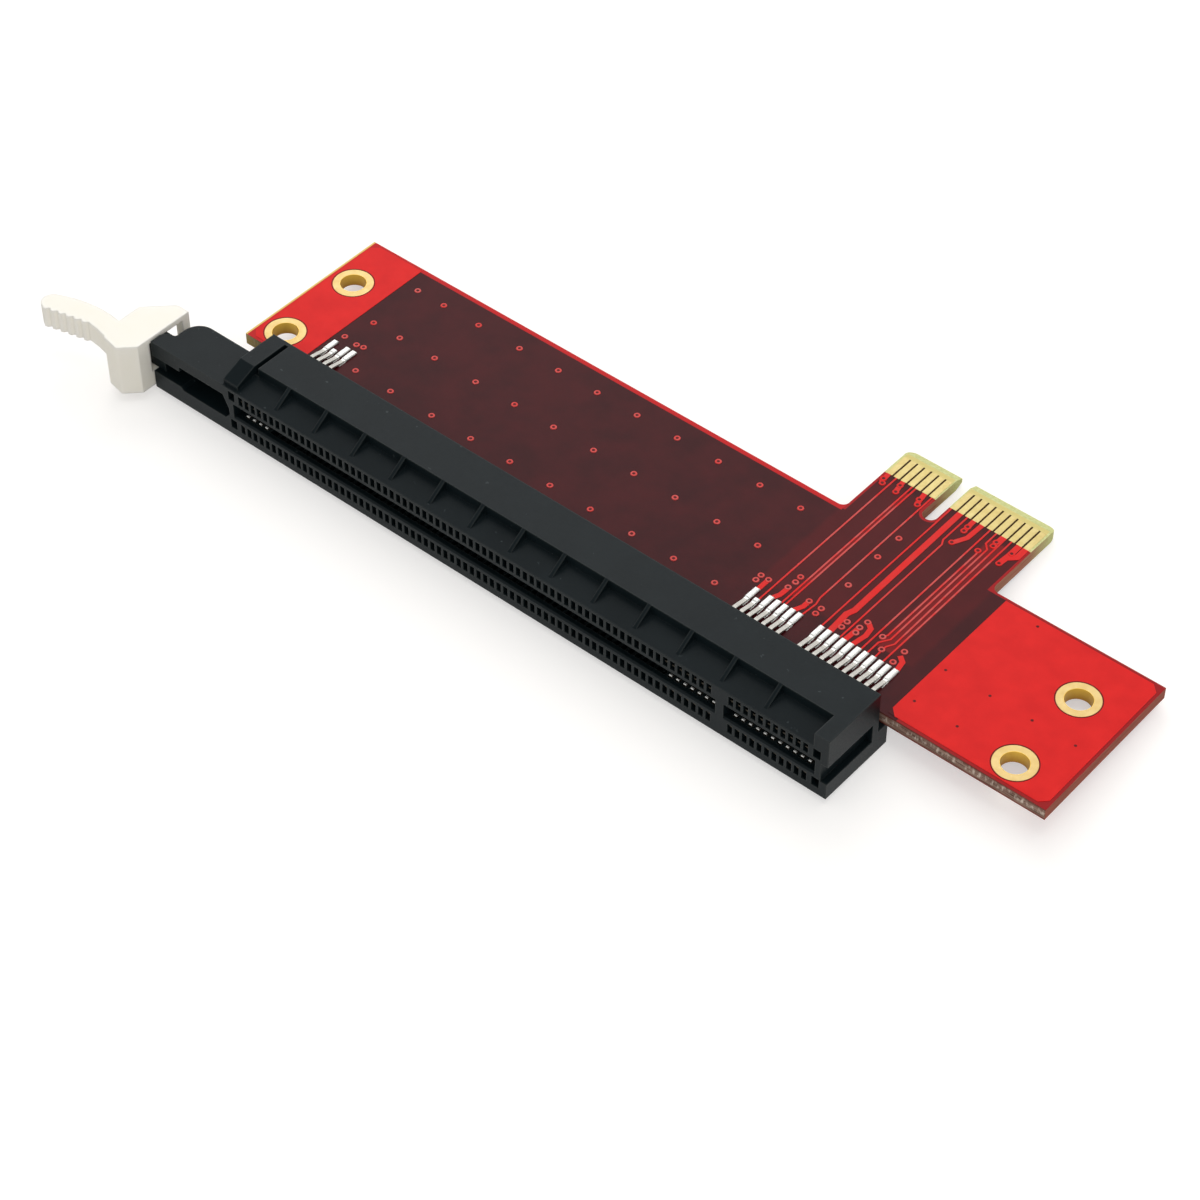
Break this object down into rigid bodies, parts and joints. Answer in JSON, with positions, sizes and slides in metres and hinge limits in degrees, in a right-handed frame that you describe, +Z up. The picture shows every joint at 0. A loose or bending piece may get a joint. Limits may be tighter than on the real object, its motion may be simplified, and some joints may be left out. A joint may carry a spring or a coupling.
{
  "type": "pcie riser card",
  "caption": "Flat red adapter board with a gold card-edge tab at the back, plated screw holes at both ends and a long black edge-mounted card slot with a hinged ivory retention latch.",
  "frame": {"origin": "middle of the rectangle of the four mounting holes, on the underside of the board", "axes": "+X along the slot away from the latch, +Y towards the card-edge fingers, +Z up out of the board's component face"},
  "size_m": [0.1366, 0.0498, 0.009],
  "materials": {
    "board_mask": "dark red solder mask on glass laminate",
    "copper_mask": "bright red solder mask over copper",
    "gold": "gold plating",
    "tin": "tinned",
    "housing_plastic": "moulded black",
    "latch_plastic": "moulded ivory"
  },
  "bodies": {
    "card": {"board": "board_mask", "pour_left_top": "copper_mask", "pour_right_top": "copper_mask", "traces_top": "copper_mask", "traces_bottom": "copper_mask", "fingers_top": "gold", "fingers_bottom": "gold", "hole_plating_front_left": "gold", "hole_plating_back_left": "gold", "hole_plating_front_right": "gold", "hole_plating_back_right": "gold", "pads_top": "tin", "pads_bottom": "tin", "contacts_top_a": "tin", "contacts_top_b": "tin", "contacts_top_c": "tin", "contacts_bottom_a": "tin", "contacts_bottom_b": "tin", "contacts_bottom_c": "tin", "slot_housing": "housing_plastic"},
    "latch": {"latch": "latch_plastic"}
  },
  "joints": [
    {"name": "latch_pivot", "type": "hinge", "parent": "card", "child": "latch", "pos_m": [-0.0638, -0.01747, 0], "axis": [0, 0, -1], "range_deg": [0, 25]}
  ]
}
